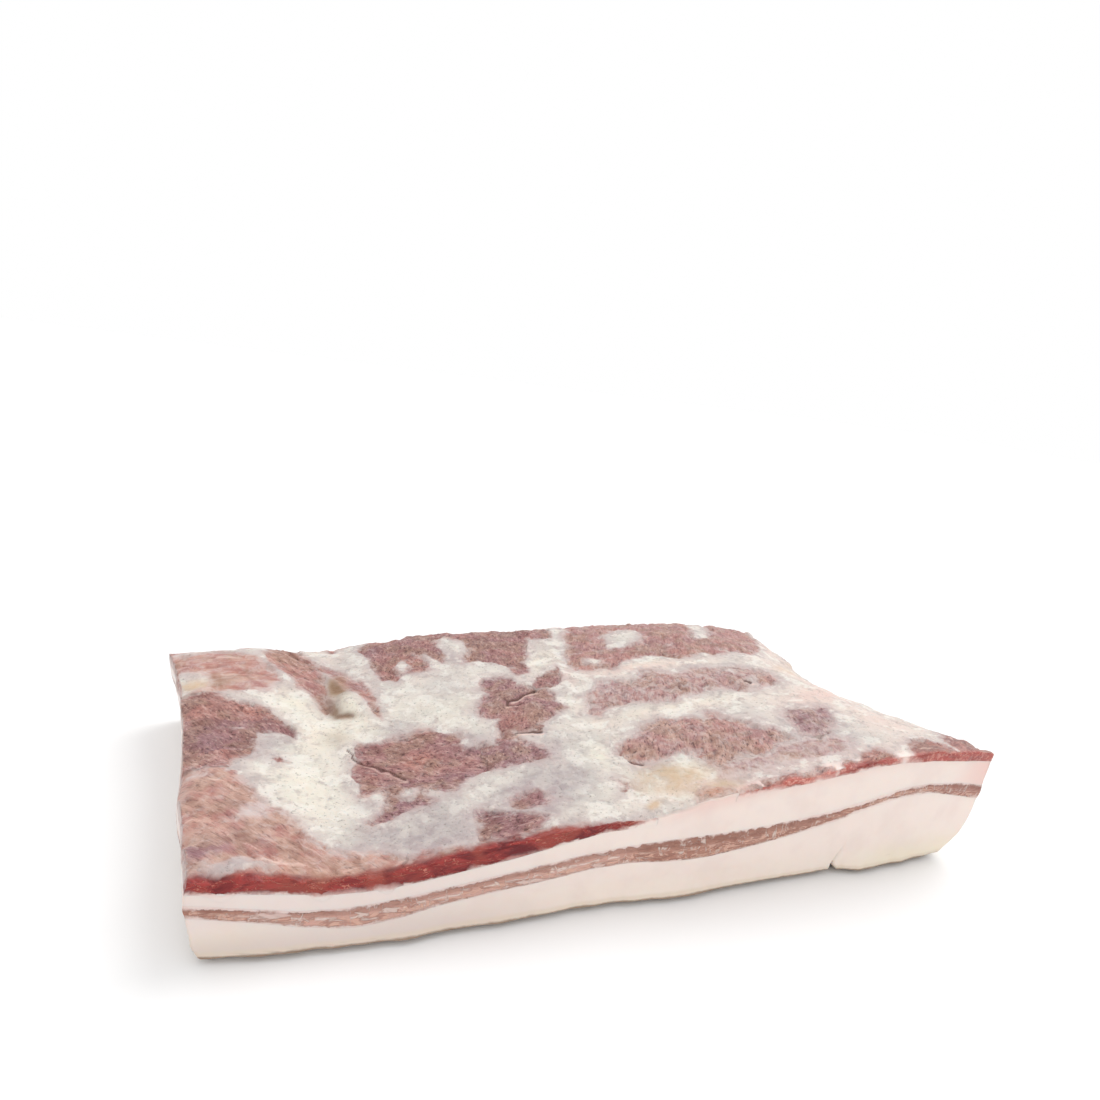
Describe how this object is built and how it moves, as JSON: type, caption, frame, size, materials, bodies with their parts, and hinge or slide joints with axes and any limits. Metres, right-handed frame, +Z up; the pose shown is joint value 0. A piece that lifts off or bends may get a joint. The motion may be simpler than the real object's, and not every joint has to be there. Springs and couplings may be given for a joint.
{
  "type": "flat pancetta slab",
  "caption": "Slab of cured pork belly lying on its rind: layers of fat and lean at a knife cut, a lean streak through the fat, and a ribbed, mottled top.",
  "frame": {"origin": "centre of the flat rind side, on the surface that the slab rests on", "axes": "+X along the long knife cut towards the thick end, +Y from the cut face to the back, +Z up from the rind to the rib side"},
  "size_m": [0.2566, 0.14, 0.0435],
  "materials": {
    "back_fat": "satin, waxy white fat with a thin tan rind below",
    "streak_lean": "satin, pale pink-brown lean in short bundles",
    "seam_fat": "satin, white to cream fat, dry on top",
    "belly_lean": "moist deep red at the cut, dry mauve-brown on top with patches of fat",
    "rib_lean": "dry mauve lean under a pale veil"
  },
  "bodies": {
    "root": {"lower_fat": "back_fat", "lean_streak": "streak_lean", "upper_fat": "seam_fat", "lean_left": "belly_lean", "lean_right": "rib_lean"}
  },
  "joints": []
}
